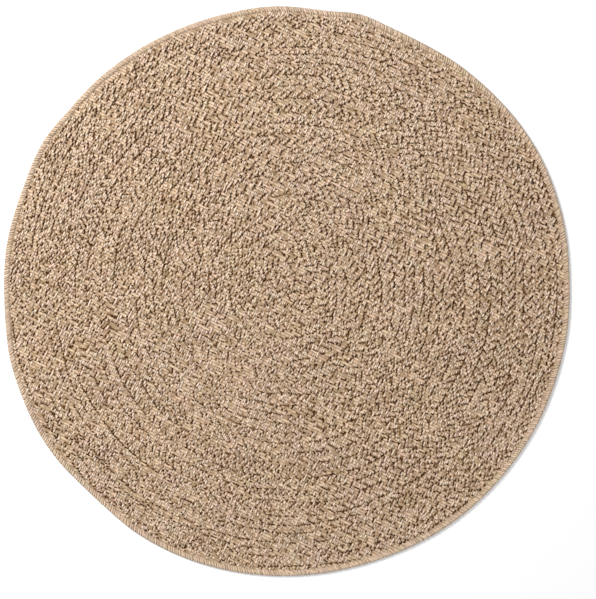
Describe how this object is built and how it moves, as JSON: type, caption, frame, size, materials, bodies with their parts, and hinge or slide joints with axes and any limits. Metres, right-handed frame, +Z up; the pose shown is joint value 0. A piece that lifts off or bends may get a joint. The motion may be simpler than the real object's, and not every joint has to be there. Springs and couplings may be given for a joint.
{
  "type": "outdoor rug",
  "caption": "Round flat-woven outdoor rug in a natural jute look: one jacquard panel that imitates a coiled braid, lying flat, its cut edge bound with a serged yarn edge.",
  "frame": {"origin": "under the middle of the rug's bounding box, on the surface that it lies on", "axes": "+Z up through the rug's thickness; +X and +Y lie in its plane, +X to the right and +Y to the far side as seen from above"},
  "size_m": [1.193, 1.2014, 0.006],
  "materials": {
    "woven_yarn": "matte flat-woven polypropylene yarn, wheat and sand floats over dark brown ribs",
    "edge_yarn": "matte sand-coloured serging yarn in close slanted turns"
  },
  "bodies": {
    "root": {"woven_panel": "woven_yarn", "serged_edge": "edge_yarn"}
  },
  "joints": []
}
